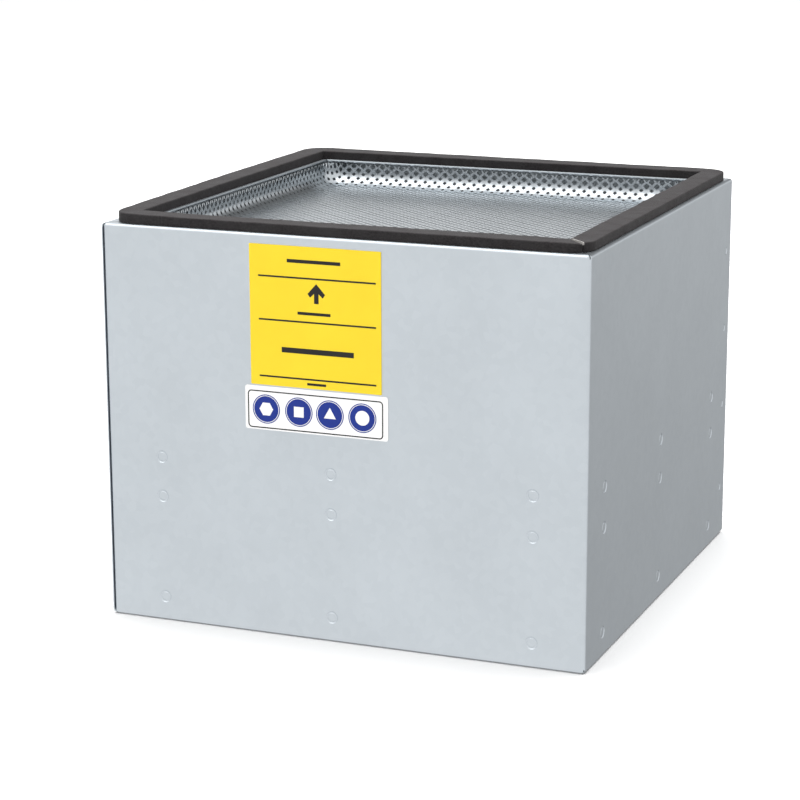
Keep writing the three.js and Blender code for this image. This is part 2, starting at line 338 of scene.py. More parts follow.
def foam_material(name, joint=None):
    """Black closed-cell foam: fine pores and faint lighter mottling. A strip with a joint, given
    by the front-right corner of its top, has a pale line of glue on top along the mitre there."""
    material, tree, shader, coords = new_material(name)
    cells = noise_value(tree, coords, 1.3 * MM, detail=3, roughness=0.7)
    clouds = noise_value(tree, coords, 14 * MM, detail=4)
    colour = ramp(tree, cells, [(0.32, (0.007, 0.0062, 0.0066)), (0.62, (0.024, 0.0213, 0.022))])
    mottling = ramp(tree, clouds, [(0.35, 0.0), (0.75, 0.6)])
    colour = mixed(tree, mottling, colour, (0.028, 0.0272, 0.028))
    if joint:
        glue = mitre_mask(tree, coords, joint)
        colour = mixed(tree, glue, colour, (0.30, 0.29, 0.28))
    tree.links.new(colour, shader.inputs["Base Color"])
    tree.links.new(ramp(tree, cells, [(0.2, 0.55), (0.8, 0.75)]), shader.inputs["Roughness"])
    shader.inputs["Specular IOR Level"].default_value = 0.12
    shader.inputs["Sheen Weight"].default_value = 0.03
    shader.inputs["Sheen Roughness"].default_value = 0.4
    bumped(tree, shader, (clouds, 0.5 * MM), (cells, 0.2 * MM))
    return material


def vinyl_material(name, base, shade):
    """Printed label film: even colour, barely clouded, with an orange-peel satin surface."""
    material, tree, shader, coords = new_material(name)
    clouds = noise_value(tree, coords, 30 * MM, detail=3)
    tree.links.new(ramp(tree, clouds, [(0.3, shade), (0.7, base)]), shader.inputs["Base Color"])
    peel = noise_value(tree, coords, 0.9 * MM, detail=2)
    tree.links.new(ramp(tree, peel, [(0.2, 0.36), (0.8, 0.48)]), shader.inputs["Roughness"])
    shader.inputs["Specular IOR Level"].default_value = 0.25
    bumped(tree, shader, (clouds, 0.12 * MM), (peel, 0.01 * MM))
    return material


def felt_material(name, base, shade):
    """Needled fibre felt: matted threads in two directions over soft clouds."""
    material, tree, shader, coords = new_material(name)
    along = noise_value(tree, coords, 1.2 * MM, detail=3, stretch=(1, 0.18, 1))
    across = noise_value(tree, coords, 1.2 * MM, detail=3, stretch=(0.18, 1, 1))
    threads = mixed(tree, 0.5, along, across)
    tree.links.new(ramp(tree, threads, [(0.35, shade), (0.62, base)]), shader.inputs["Base Color"])
    tree.links.new(ramp(tree, threads, [(0.3, 1.0), (0.7, 0.85)]), shader.inputs["Roughness"])
    shader.inputs["Sheen Weight"].default_value = 0.3
    bumped(tree, shader, (threads, 0.5 * MM))
    return material


def carbon_material(name):
    """Black carbon granules: near-black facets, lighter on their raised middles, with painted shade
    darkening the gaps between them.
    """
    material, tree, shader, coords = new_material(name)
    facets = tree.nodes.new("ShaderNodeTexVoronoi")
    facets.inputs["Scale"].default_value = 1 / (3.2 * MM)
    tree.links.new(coords, facets.inputs["Vector"])
    # Painted shade: the colour is lightest in each granule's raised middle and darkens into the
    # gaps between granules.
    colour = ramp(tree, facets.outputs["Distance"], [(0.0, 0.035), (0.5, 0.012), (1.0, 0.004)])
    tree.links.new(colour, shader.inputs["Base Color"])
    tree.links.new(ramp(tree, facets.outputs["Distance"], [(0.0, 0.45), (1.0, 0.9)]),
                   shader.inputs["Roughness"])
    bumped(tree, shader, (facets.outputs["Distance"], -0.8 * MM))
    return material


casing_steel = galvanised_material("galvanised_casing", (0.60, 0.65, 0.69), 0.36, 0.48, 0.05)
mesh_steel = galvanised_material("galvanised_mesh", (0.57, 0.61, 0.64), 0.24, 0.38, 0.10)
rail_steel = galvanised_material("galvanised_rails", (0.62, 0.65, 0.68), 0.38, 0.52, 0.12)
frame_steel = galvanised_material("galvanised_guard_frame", (0.66, 0.69, 0.72), 0.34, 0.48, 0.10)
strip_low, strip_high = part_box("foam_gasket")
strip_foam = foam_material("black_sealing_foam", Vector((strip_high.x, strip_low.y, strip_high.z)))
ring_foam = foam_material("black_guard_foam")
yellow_film = vinyl_material("yellow_label_film", (0.72, 0.53, 0.017), (0.69, 0.505, 0.0155))
white_film = vinyl_material("white_label_film", (0.74, 0.74, 0.735), (0.71, 0.71, 0.705))
dark_ink = vinyl_material("dark_ink", (0.012, 0.011, 0.011), (0.016, 0.0145, 0.013))
blue_ink = vinyl_material("blue_ink", (0.006, 0.024, 0.21), (0.005, 0.020, 0.19))
filter_felt = felt_material("filter_felt", (0.20, 0.205, 0.21), (0.09, 0.092, 0.095))
pleat_paper = felt_material("pleated_fibre", (0.84, 0.83, 0.78), (0.74, 0.73, 0.68))
black_carbon = carbon_material("carbon_granules")


# ------------------------------------------------------------------ casing panels

def bent_block(name, x0, x1, y0, y1, inset, steps=6):
    """A block as high as the casing, shrunk by inset, with every edge rounded to the bend."""
    edge = BEND - inset
    plan = edge + 0.5 * MM
    rings = []
    turns = [math.pi / 2 * k / steps for k in range(steps + 1)]
    for turn in turns:
        shrink = edge * (1 - math.sin(turn))
        z = inset + edge * (1 - math.cos(turn))
        off = inset + shrink
        rings.append(outline_ring(x0 + off, x1 - off, y0 + off, y1 - off, plan - shrink, z, steps))
    mirrored = [[(x, y, CASING_TOP - z) for x, y, z in ring] for ring in reversed(rings)]
    return loft(name, rings + mirrored)


def clinch_cutter(radius):
    """The hollow of one clinch mark, along +Z from the wall's face: a round groove with a flat
    raised middle. It starts a little outside the face."""
    outside, deep, middle = 0.5 * MM, 0.52 * MM, 0.26 * MM
    profile = [
        (0.0, -outside), (radius, -outside), (radius, 0.0), (radius * 0.955, 0.2 * MM),
        (radius * 0.90, 0.42 * MM), (radius * 0.84, deep), (radius * 0.74, deep),
        (radius * 0.68, 0.42 * MM), (radius * 0.64, middle), (0.0, middle),
    ]
    steps = 40
    verts, faces = [(0, 0, profile[0][1]), (0, 0, profile[-1][1])], []
    rings = []
    for r, z in profile[1:-1]:
        rings.append(len(verts))
        for k in range(steps):
            verts.append((r * math.cos(TAU * k / steps), r * math.sin(TAU * k / steps), z))
    for k in range(steps):
        n = (k + 1) % steps
        faces.append((0, rings[0] + n, rings[0] + k))
        for a, b in zip(rings, rings[1:]):
            faces.append((a + k, a + n, b + n, b + k))
        faces.append((rings[-1] + k, rings[-1] + n, 1))
    return add_object("clinch", verts, faces)


def clinch_marks():
    """All the marks pressed into a panel's front and right walls, as one cutter."""
    into_front = Matrix.Rotation(math.radians(-90), 4, "X")
    into_right = Matrix.Rotation(math.radians(-90), 4, "Y")
    marks = []

    def press(radius, turn, place):
        mark = clinch_cutter(radius)
        mark.matrix_world = Matrix.Translation(place) @ turn
        marks.append(mark)

    for z in CLINCH_ROWS:
        for x in FRONT_CLINCH_COLUMNS:
            press(4.8 * MM, into_front, Vector((x, -HALF_Y, z)))
        for y in SIDE_CLINCH_COLUMNS:
            press(4.8 * MM, into_right, Vector((HALF_X, y, z)))
    for z in SEAM_CLINCH_ROWS:
        press(3.3 * MM, into_right, Vector((HALF_X, HALF_Y - SEAM_CLINCH_FROM_EDGE, z)))
    return join_meshes("clinch_marks", marks)


def folded_edge(inner_x, inner_y):
    """The opening's edge, turned back over the top flanges: a round nose and a flat strip."""
    top = SHEET + 0.8 * MM                  # the fold isn't pressed quite flat
    nose = (SHEET + top) / 2
    profile = []
    for k in range(9):
        angle = math.pi * (0.5 + k / 8)
        profile.append((nose * (1 + math.cos(angle)), nose * math.sin(angle) + (top - SHEET) / 2))
    profile += [(nose + 0.4 * MM, -SHEET), (nose + 0.4 * MM, -SHEET / 2), (HEM, -SHEET / 2),
                (HEM, SHEET - 0.2 * MM), (HEM - 0.2 * MM, SHEET)]
    rings = [outline_ring(-inner_x - grow, inner_x + grow, -inner_y - grow, inner_y + grow,
                          0.5 * MM + grow, CASING_TOP + z, 3) for grow, z in profile]
    return loft("folded_edge", rings, loop=True)


def pressed_panel(name):
    """Front wall, right wall, their flanges and the tab behind the other panel's wall."""
    left = -HALF_X + SHEET + SEAM_GAP
    far = HALF_Y + 20 * MM
    panel = bent_block(name, left, HALF_X, -HALF_Y, far, 0)
    combine(panel, bent_block("inside", left, HALF_X, -HALF_Y, far, SHEET), "DIFFERENCE")

    inner_x, inner_y = HALF_X - FLANGE, HALF_Y - FLANGE
    bottom_opening = block("opening", -inner_x, inner_x, -inner_y, inner_y, -2 * MM, 5 * MM)
    combine(panel, bottom_opening, "DIFFERENCE")
    wide_x, wide_y = inner_x + MM, inner_y + MM         # the folded edge fills the difference
    top_opening = block("opening", -wide_x, wide_x, -wide_y, wide_y,
                        CASING_TOP - 5 * MM, CASING_TOP + 2 * MM)
    combine(panel, top_opening, "DIFFERENCE")
    combine(panel, folded_edge(inner_x, inner_y), "UNION")

    reach, beyond, gap = FLANGE + 10 * MM, 5 * MM, MITRE_GAP / math.sqrt(2)
    keep = prism("keep", [
        (-HALF_X - beyond + gap, -HALF_Y - beyond), (HALF_X + beyond, -HALF_Y - beyond),
        (HALF_X + beyond, HALF_Y + beyond - gap), (HALF_X - reach, HALF_Y - reach - gap),
        (HALF_X - reach, -HALF_Y + reach), (-HALF_X + reach + gap, -HALF_Y + reach),
    ], -MM, CASING_TOP + MM)
    low = BEND + 0.7 * MM
    high = CASING_TOP - low
    tab = block("tab", left - MM, left + 6 * MM, -HALF_Y - MM, -HALF_Y + SEAM_TAB, low, high)
    wall_end = block("wall_end", HALF_X - 1.5 * MM, HALF_X + MM, 0, HALF_Y - SEAM_GAP, low, high)
    combine(keep, tab, "UNION")
    combine(keep, wall_end, "UNION")
    combine(panel, keep, "INTERSECT")

    depth = BEND + 0.4 * MM
    for z0, z1 in ((-MM, depth), (CASING_TOP - depth, CASING_TOP + MM)):
        notch = block("notch", -62 * MM, 10 * MM, -MITRE_GAP / 2, MITRE_GAP / 2, z0, z1)
        notch.data.transform(Matrix.Translation((HALF_X, -HALF_Y, 0))
                             @ Matrix.Rotation(math.radians(-45), 4, "Z"))
        combine(panel, notch, "DIFFERENCE")
    combine(panel, clinch_marks(), "DIFFERENCE")
    return panel


def casing():
    front_right = pressed_panel("casing_front_right_sheet")
    back_left = bpy.data.objects.new("casing_back_left_sheet", front_right.data.copy())
    scene.collection.objects.link(back_left)
    back_left.data.transform(Matrix.Rotation(math.pi, 4, "Z"))
    for sheet in (front_right, back_left):
        sheet.data.transform(Matrix.Translation((0, MID_Y, 0)))
        soften(sheet)
    finish_piece(front_right, casing_steel, "galvanised_sheet", "casing_front_right_panel")
    finish_piece(back_left, casing_steel, "galvanised_sheet", "casing_back_left_panel")


# ------------------------------------------------------------------ expanded metal

def diamond_cells(half_x, half_y, long_way, short_way):
    """Centres of the staggered diamonds whose whole cell lies in the rectangle."""
    rows, columns = int(2 * half_y / short_way), int(half_x / long_way) + 1
    centres = []
    for row in range(-rows, rows + 1):
        shift = 0.5 if row % 2 else 0.0
        for column in range(-columns, columns + 1):
            x, y = (column + shift) * long_way, row * short_way / 2
            if abs(x) <= half_x - long_way / 2 and abs(y) <= half_y - short_way / 2:
                centres.append((x, y))
    return centres


def diamond_outlines(long_way, short_way):
    """The cell's edge and a full-size hole's edge, with points at the corners and halfway."""
    corners = [(long_way / 2, 0), (0, short_way / 2), (-long_way / 2, 0), (0, -short_way / 2)]
    rim = []
    for (ax, ay), (bx, by) in zip(corners, corners[1:] + corners[:1]):
        rim += [(ax, ay), ((ax + bx) / 2, (ay + by) / 2)]
    hole = []
    for k, (x, y) in enumerate(rim):
        share = 1.0 if k % 2 else 0.94 if x == 0 else 0.88
        hole.append((x * share, y * share))
    return rim, hole


def expanded_sheet(half_x, half_y, size=1.0, hole_share=lambda x, y: MESH_HOLE):
    """Flat expanded metal as (points, faces): points are (x, y, height off the sheet's middle).
    Each diamond is a frame from its cell's edge to its hole, and its strands lean, so that the
    front lip of each hole stands up and the back one hangs down."""
    rim, hole = diamond_outlines(MESH_LONG * size, MESH_SHORT * size)
    slope = -MESH_LIFT / (MESH_SHORT * size / 2)
    count, thick = len(rim), MESH_THICKNESS / 2
    index, points, faces = {}, [], []

    def vertex(x, y, h):
        key = (round(x / MM * 50), round(y / MM * 50), round(h / MM * 200))
        if key not in index:
            index[key] = len(points)
            points.append((x, y, h))
        return index[key]

    for cx, cy in diamond_cells(half_x, half_y, MESH_LONG * size, MESH_SHORT * size):
        top_rim, low_rim = [[vertex(cx + x, cy + y, h) for x, y in rim] for h in (thick, -thick)]
        share = hole_share(cx, cy)
        top_lip, low_lip = [[vertex(cx + x * share, cy + y * share, h + slope * y) for x, y in hole]
                            for h in (thick, -thick)]
        for k in range(count):
            n = (k + 1) % count
            faces.append((top_rim[k], top_rim[n], top_lip[n], top_lip[k]))
            faces.append((low_rim[n], low_rim[k], low_lip[k], low_lip[n]))
            faces.append((top_lip[k], top_lip[n], low_lip[n], low_lip[k]))

    # The sheet's outer edge: each top edge that only one face uses gets a face down to the bottom.
    used = {(a, b) for face in faces for a, b in zip(face, face[1:] + face[:1])}
    pairs = {}
    for (kx, ky, kh), i in index.items():
        pairs.setdefault((kx, ky), {})[kh > 0] = i
    below = {pair[True]: pair[False] for pair in pairs.values() if len(pair) == 2}
    for a, b in sorted(used):
        if (b, a) not in used and a in below and b in below:
            faces.append((b, a, below[a], below[b]))
    return np.array(points), faces


def dish(points, floor_x, floor_y, corner, foot, upright, brim):
    """Bends a flat sheet up all round: floor, rounded foot, upright wall, and a brim turned out
    over it. The floor's height is 0, and corner is its radius in plan."""
    x, y, h = points.T
    core_x = np.clip(x, -(floor_x - corner), floor_x - corner)
    core_y = np.clip(y, -(floor_y - corner), floor_y - corner)
    away = np.hypot(x - core_x, y - core_y)
    out_x, out_y = (x - core_x) / np.maximum(away, 1e-9), (y - core_y) / np.maximum(away, 1e-9)
    run = away - corner                                     # along the sheet, past the floor's edge
    fold = foot * math.pi / 2 + upright + brim * math.pi / 4
    run = np.where(abs(run - fold) < MM, fold, run)         # a row of points lies along the fold
    foot_turn = np.clip(run / foot, 0, math.pi / 2)
    wall = np.clip(run - foot * math.pi / 2, 0, upright)
    brim_turn = np.clip((run - foot * math.pi / 2 - upright) / brim, 0, math.pi / 2)
    flat = np.clip(run - (foot + brim) * math.pi / 2 - upright, 0, None)
    lean = foot_turn - brim_turn
    spread = np.minimum(run, 0) + foot * np.sin(foot_turn) + brim * (1 - np.cos(brim_turn)) + flat
    rise = foot * (1 - np.cos(foot_turn)) + wall + brim * np.sin(brim_turn)
    reach = corner + spread - h * np.sin(lean)
    height = rise + h * np.cos(lean)
    return np.column_stack([core_x + out_x * reach, core_y + out_y * reach, height])


def outlet_tray():
    low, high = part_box("outlet_mesh_tray")
    proud = MESH_THICKNESS / 2 + abs(MESH_LIFT)
    wall_x, wall_y = HALF_X - FLANGE - 0.7 * MM, HALF_Y - FLANGE - 0.7 * MM
    foot, brim, corner, rim = 11 * MM, 0.3 * MM, 4 * MM, 4 * MM
    floor_x, floor_y = wall_x - foot, wall_y - foot
    floor_z = low.z + proud
    upright = high.z - proud - floor_z - foot - brim
    run = (foot + brim) * math.pi / 2 + upright + rim

    def hole_share(x, y):
        past = max(abs(x) - floor_x, abs(y) - floor_y)
        return MESH_PRESSED_HOLE if 0 < past < foot * math.pi / 2 else MESH_HOLE

    points, faces = expanded_sheet(floor_x + run, floor_y + run, 1.0, hole_share)
    verts = dish(points, floor_x, floor_y, corner, foot, upright, brim) + (0, MID_Y, floor_z)
    tray = add_object("outlet_mesh", verts, faces)
    soften(tray, 50)
    finish_piece(tray, mesh_steel, "expanded_steel", "outlet_mesh_tray")


def flat_mesh(name, node, margin, size):
    """A flat sheet of expanded metal in the place of its CAD node."""
    low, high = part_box(node)
    middle, half = (low + high) / 2, (high - low) / 2
    points, faces = expanded_sheet(half.x - margin, half.y - margin, size)
    sheet = add_object(name, points + tuple(middle), faces)
    soften(sheet, 50)
    finish_piece(sheet, mesh_steel, "expanded_steel", node)


# ------------------------------------------------------------------ foam gasket

def strip_section(width, height):
    """Points round the strip's section, as (share of the width from outside, height)."""
    top, foot = 0.9 * MM, 0.4 * MM
    corners = [(foot, foot, foot, 0.75), (top, height - top, top, 0.5),
               (width - top, height - top, top, 0.25), (width - foot, foot, foot, 0.0)]
    points = []
    for across, up, radius, start in corners:
        for k in range(4):
            angle = TAU * (start - k / 12)
            points.append((across + radius * math.cos(angle), up + radius * math.sin(angle)))
    dense = []
    for (ax, az), (bx, bz) in zip(points, points[1:] + points[:1]):
        count = max(1, round(math.hypot(bx - ax, bz - az) / (2.6 * MM)))
        dense += [((ax + (bx - ax) * k / count) / width, az + (bz - az) * k / count)
                  for k in range(count)]
    return dense


def gasket_route(x0, x1, y0, y1):
    """The strip's outer edge from end to end: it starts and stops halfway round the front-right
    corner, and goes counter-clockwise from above."""
    r, step = GASKET_CORNER, 5 * MM
    route = []

    def arc(cx, cy, start, stop):
        for k in range(12):
            angle = math.radians(start + (stop - start) * k / 12)
            route.append((cx + r * math.cos(angle), cy + r * math.sin(angle)))

    def straight(ax, ay, bx, by):
        count = int(math.hypot(bx - ax, by - ay) / step)
        for k in range(count):
            route.append((ax + (bx - ax) * k / count, ay + (by - ay) * k / count))

    arc(x1 - r, y0 + r, -45, 0)
    straight(x1, y0 + r, x1, y1 - r)
    arc(x1 - r, y1 - r, 0, 90)
    straight(x1 - r, y1, x0 + r, y1)
    arc(x0 + r, y1 - r, 90, 180)
    straight(x0, y1 - r, x0, y0 + r)
    arc(x0 + r, y0 + r, 180, 270)
    straight(x0 + r, y0, x1 - r, y0)
    arc(x1 - r, y0 + r, -90, -45)
    diagonal = r / math.sqrt(2)
    route.append((x1 - r + diagonal, y0 + r - diagonal))
    return route


def foam_gasket():
    """One hand-laid strip: square inner corners, rounded outer ones, its ends meeting on a mitre
    at the front right, where the front end is squeezed and the other stands over it."""
    low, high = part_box("foam_gasket")
    height = high.z - low.z
    section = strip_section(GASKET_WIDTH, height)
    route = gasket_route(low.x, high.x, low.y, high.y)
    count = len(section)
    end_reach = 12                      # stations over which an end is shaped
    reach = 60 * MM                     # how far a side's own drift carries round its corners
    verts = []
    for s, (ox, oy) in enumerate(route):
        ix = min(max(ox, low.x + GASKET_WIDTH), high.x - GASKET_WIDTH)
        iy = min(max(oy, low.y + GASKET_WIDTH), high.y - GASKET_WIDTH)
        first = max(0.0, 1 - s / end_reach)
        last = max(0.0, 1 - (len(route) - 1 - s) / end_reach)
        shift = GASKET_SLIT / 2 / math.sqrt(2) * (first - last)
        for share, up in section:
            x, y = ox + (ix - ox) * share + shift, oy + (iy - oy) * share + shift
            left = max(0.0, 1 - (x - low.x) / reach)
            back = max(0.0, 1 - (high.y - y) / reach)
            forward = (high.y - y) / (high.y - low.y)
            x += left * (GASKET_DRIFT * forward ** 2 - GASKET_OUTWARDS)
            y += back * GASKET_OUTWARDS
            rise = GASKET_RISE * max(left, back * (high.x - x) / (high.x - low.x))
            wander = noise.noise_vector(Vector((x, y, 0)) / (30 * MM))
            lift = noise.noise(Vector((x, y, 5 * MM)) / (13 * MM)) * 0.22 * MM
            squeeze = 1 - 0.14 * last ** 2 * (1 - 0.5 * share) + 0.04 * first
            z = low.z + (up * squeeze + (lift + rise) * up / height)
            verts.append((x + wander.x * 0.4 * MM, y + wander.y * 0.4 * MM, z))
    faces = []
    for s in range(len(route) - 1):
        for k in range(count):
            n = (k + 1) % count
            faces.append((s * count + k, s * count + n, (s + 1) * count + n, (s + 1) * count + k))
    faces.append(tuple(range(count - 1, -1, -1)))
    faces.append(tuple(range(len(verts) - count, len(verts))))
    strip = add_object("foam_sealing_strip", verts, faces)
    shape = bmesh.new()
    shape.from_mesh(strip.data)
    bmesh.ops.remove_doubles(shape, verts=shape.verts, dist=1e-6)
    bmesh.ops.recalc_face_normals(shape, faces=shape.faces)
    shape.to_mesh(strip.data)
    shape.free()
    soften(strip, 60)
    finish_piece(strip, strip_foam, "gasket_foam", "foam_gasket")


# ------------------------------------------------------------------ labels

def flat_plate(name, outline, back, thickness):
    """A thin upright plate on the front: an outline of (x, z) points, seen from the front
    counter-clockwise, standing on y = back and growing towards the viewer."""
    count = len(outline)
    verts = [(x, back, z) for x, z in outline] + [(x, back - thickness, z) for x, z in outline]
    faces = [tuple(reversed(range(count))), tuple(range(count, 2 * count))]
    for i in range(count):
        j = (i + 1) % count
        faces.append((i, j, j + count, i + count))
    return add_object(name, verts, faces)


def ring_plate(name, outer, inner, back, thickness):
    """A thin upright frame between two outlines with equally many points."""
    count = len(outer)
    front = back - thickness
    edges = ((outer, back), (outer, front), (inner, front), (inner, back))
    verts = [(x, y, z) for outline, y in edges for x, z in outline]
    faces = []
    for level in range(4):
        low, high = level * count, (level + 1) % 4 * count
        for i in range(count):
            j = (i + 1) % count
            faces.append((low + i, low + j, high + j, high + i))
    return add_object(name, verts, faces)


def rounded_outline(x0, x1, z0, z1, radius, steps=6):
    return [(x, z) for x, z, _ in outline_ring(x0, x1, z0, z1, radius, 0, steps)]


def circle_outline(x, z, radius, steps=48):
    """A circle, or with few steps a regular shape that stands on a flat side."""
    turns = [TAU * (0.75 - 0.5 / steps + k / steps) for k in range(steps)]
    return [(x + radius * math.cos(turn), z + radius * math.sin(turn)) for turn in turns]


def rating_label():
    low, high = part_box("rating_label")
    face = high.y
    film = flat_plate("rating_label_film", rounded_outline(low.x, high.x, low.z, high.z, 0.8 * MM),
                      face, FILM)
    soften(film)
    finish_piece(film, yellow_film, "yellow_label", "rating_label")
    surface = face - FILM - LABEL_CLEARANCE
    inks = []

    def bar(x0, x1, z, height):
        low_z, high_z = z - height / 2, z + height / 2
        outline = [(x0, low_z), (x1, low_z), (x1, high_z), (x0, high_z)]
        inks.append(flat_plate("ink", outline, surface, INK))

    rule = 1.3 * MM
    for z in (272.8 * MM, 240.6 * MM, 198.3 * MM):
        bar(-62 * MM, 30.4 * MM, z, rule)
    middle = -16 * MM
    foot, neck, tip = 254.7 * MM, 262.0 * MM, 269.3 * MM
    shaft = 1.8 * MM                        # half its width
    right_half = [(shaft, foot), (shaft, neck), (5.0 * MM, neck - 3.0 * MM),
                  (6.9 * MM, neck - 0.3 * MM), (0.0, tip)]
    left_half = [(-x, z) for x, z in reversed(right_half[:-1])]
    arrow = [(middle + x, z) for x, z in right_half + left_half]
    inks.append(flat_plate("ink", arrow, surface, INK))
    # Plain bars stand where the printed words would be.
    word_bars = [(-39, 3, 285, 2.6), (-31, -5, 247, 2.2),
                 (-44, 13, 219, 4.0), (-24, -9, 194.8, 1.8)]
    for x0, x1, z, height in word_bars:
        bar(x0 * MM, x1 * MM, z * MM, height * MM)
    printed = join_meshes("rating_label_print", inks)
    finish_piece(printed, dark_ink, "yellow_label")


def handling_label():
    low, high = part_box("handling_label")
    face = high.y
    film = flat_plate("handling_label_film", rounded_outline(low.x, high.x, low.z, high.z, 2 * MM),
                      face, FILM)
    soften(film)
    finish_piece(film, white_film, "white_label", "handling_label")
    surface = face - FILM - LABEL_CLEARANCE
    x0, x1, z0, z1 = -71.9 * MM, 35.6 * MM, 158.6 * MM, 187 * MM
    line, corner = 0.9 * MM, 3 * MM
    inside = rounded_outline(x0 + line, x1 - line, z0 + line, z1 - line, corner - line)
    border = ring_plate("handling_label_border", rounded_outline(x0, x1, z0, z1, corner), inside,
                        surface, INK)
    finish_piece(border, dark_ink, "white_label")
    # Each disc carries a plain shape: a hexagon, a square, a triangle and a dot.
    discs, marks = [], []
    over = surface - INK - LABEL_CLEARANCE
    disc_z, disc_radius = 173.2 * MM, 11.0 * MM
    for centre, sides in ((-57.1 * MM, 6), (-31.0 * MM, 4), (-6.3 * MM, 3), (19.3 * MM, 48)):
        disc = circle_outline(centre, disc_z, disc_radius)
        ring_outside = circle_outline(centre, disc_z, 0.93 * disc_radius)
        ring_inside = circle_outline(centre, disc_z, 0.89 * disc_radius)
        shape = circle_outline(centre, disc_z, 0.5 * disc_radius, sides)
        discs.append(flat_plate("disc", disc, surface, INK))
        marks.append(ring_plate("mark", ring_outside, ring_inside, over, INK))
        marks.append(flat_plate("mark", shape, over, INK))
    blue = join_meshes("handling_label_discs", discs)
    finish_piece(blue, blue_ink, "white_label")
    white = join_meshes("handling_label_marks", marks)
    finish_piece(white, white_film, "white_label")


# ------------------------------------------------------------------ inside layers

def soft_slab(name, node, step, ripple, material, slot):
    """A soft layer in the space of its CAD node: a fine grid, top and bottom slightly uneven and
    its edges rounded in."""
    low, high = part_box(node)
    nx, ny = int((high.x - low.x) / step), int((high.y - low.y) / step)
    middle, half = (low.z + high.z) / 2, (high.z - low.z) / 2
    verts, faces = [], []
    inset = 0.4 * MM + ripple

    def height(x, y, side):
        edge = min(x - low.x, high.x - x, y - low.y, high.y - y) / (2.5 * MM)
        fullness = math.sqrt(max(0.0, 1 - max(0.0, 1 - edge) ** 2)) * 0.45 + 0.55
        uneven = noise.noise(Vector((x, y, side * 0.05)) / (16 * MM)) * ripple
        return middle + side * ((half - inset) * fullness + uneven)

    for side in (1, -1):
        for j in range(ny + 1):
            for i in range(nx + 1):
                x = low.x + (high.x - low.x) * i / nx
                y = low.y + (high.y - low.y) * j / ny
                verts.append((x, y, height(x, y, side)))
    layer = (nx + 1) * (ny + 1)
    for j in range(ny):
        for i in range(nx):
            a = j * (nx + 1) + i
            faces.append((a, a + 1, a + nx + 2, a + nx + 1))
            faces.append((layer + a, layer + a + nx + 1, layer + a + nx + 2, layer + a + 1))
    rim = list(range(nx + 1))
    rim += [(j + 1) * (nx + 1) - 1 for j in range(1, ny + 1)]
    rim += [ny * (nx + 1) + i for i in range(nx - 1, -1, -1)]
    rim += [j * (nx + 1) for j in range(ny - 1, 0, -1)]
    for a, b in zip(rim, rim[1:] + rim[:1]):
        faces.append((b, a, layer + a, layer + b))
    slab = add_object(name, verts, faces, smooth=True)
    finish_piece(slab, material, slot, node)


def pleated_media():
    """One folded sheet: sharp pleats across the width, running front to back."""
    low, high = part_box("pleated_guard_media")
    half_sheet = 0.3 * MM
    count = int((high.x - low.x) / PLEAT_PITCH)
    pitch = (high.x - low.x) / count
    crest = 0.5 * MM
    upper = []
    for k in range(2 * count + 1):
        x = low.x + pitch / 2 * k
        z = low.z + MM if k % 2 == 0 else high.z - MM
        for dx in (-crest, crest) if 0 < k < 2 * count else (0,):
            upper.append((x + dx, z))
    middle = (low.z + high.z) / 2
    lower = [(x, z - 4 * half_sheet if z > middle else z - half_sheet) for x, z in upper]
    section = upper + lower[::-1]
    rows = 10
    verts, faces = [], []
    for j in range(rows + 1):
        y = low.y + (high.y - low.y) * j / rows
        for x, z in section:
            sway = noise.noise(Vector((x, y, 0)) / (60 * MM)) * 0.5 * MM
            verts.append((min(max(x + sway, low.x), high.x), y, z))
    n = len(section)
    for j in range(rows):
        for k in range(n):
            m = (k + 1) % n
            faces.append((j * n + k, (j + 1) * n + k, (j + 1) * n + m, j * n + m))
    faces.append(tuple(range(n)))
    faces.append(tuple(reversed(range(rows * n, (rows + 1) * n))))
    media = add_object("pleated_fibre_pack", verts, faces)
    soften(media)
    finish_piece(media, pleat_paper, "pleat_media", "pleated_guard_media")


def guard_gasket():
    """The foam ring between the guard filter and the middle rails, with rounded edges."""
    low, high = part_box("guard_filter_gasket")
    wall, thick, off = 12 * MM, 3 * MM, 0.8 * MM
    outer_radius, least_radius = 3 * MM, 0.6 * MM
    levels = [(off, 0.0), (0.0, off), (0.0, thick - off), (off, thick), (wall - off, thick),
              (wall, thick - off), (wall, off), (wall - off, 0.0)]
    rings = []
    for inset, z in levels:
        radius = max(outer_radius - inset, least_radius)
        rings.append(outline_ring(low.x + inset, high.x - inset, low.y + inset, high.y - inset,
                                  radius, low.z + z, 6))
    ring = loft("guard_foam_ring", rings, loop=True)
    soften(ring)
    finish_piece(ring, ring_foam, "gasket_foam", "guard_filter_gasket")


def dress(node, material):
    node.data.materials.clear()
    node.data.materials.append(material)


def carried_over():
    """CAD nodes whose shape is right: better materials on the same meshes."""
    nodes = frame["nodes"]
    for label in ("bottom", "middle"):
        for side in ("front", "right", "back", "left"):
            dress(nodes[f"{label}_rail_{side}"], rail_steel)
    dress(nodes["guard_filter_frame"], frame_steel)


# ------------------------------------------------------------------ stage, light and camera

